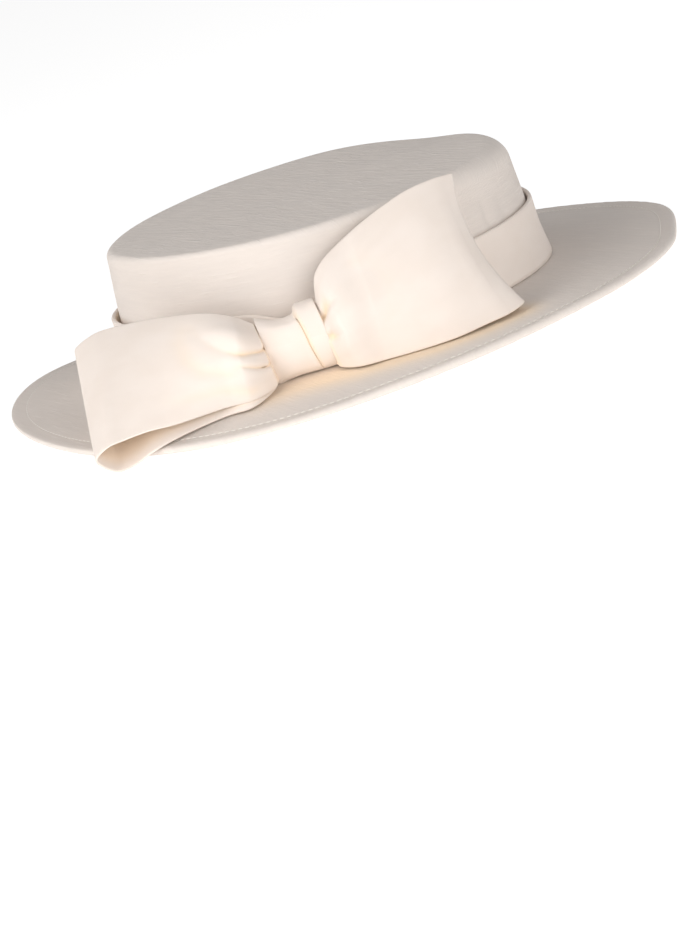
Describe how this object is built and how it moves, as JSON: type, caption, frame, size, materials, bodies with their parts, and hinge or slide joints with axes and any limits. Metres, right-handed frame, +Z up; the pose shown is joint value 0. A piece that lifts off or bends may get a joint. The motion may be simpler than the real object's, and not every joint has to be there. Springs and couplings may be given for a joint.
{
  "type": "fascinator hat",
  "caption": "Small boater-shaped fascinator with a shallow round crown, a wide flat brim with a rolled edge, a folded hatband and a flat pinched bow at the front.",
  "frame": {"origin": "on the surface the hat stands on, under the middle of the brim", "axes": "+Z up through the crown, -Y towards the bow, +X to the right as the bow is faced"},
  "size_m": [0.2996, 0.3001, 0.0724],
  "materials": {
    "slub_cloth": "ivory slub weave over a stiff base, matte with a faint sheen",
    "ribbon": "warm ivory smooth crepe ribbon, soft low sheen"
  },
  "bodies": {
    "root": {"brim": "slub_cloth", "crown": "slub_cloth", "hatband": "ribbon", "bow_loop_left": "ribbon", "bow_loop_right": "ribbon", "bow_knot": "ribbon"}
  },
  "joints": []
}
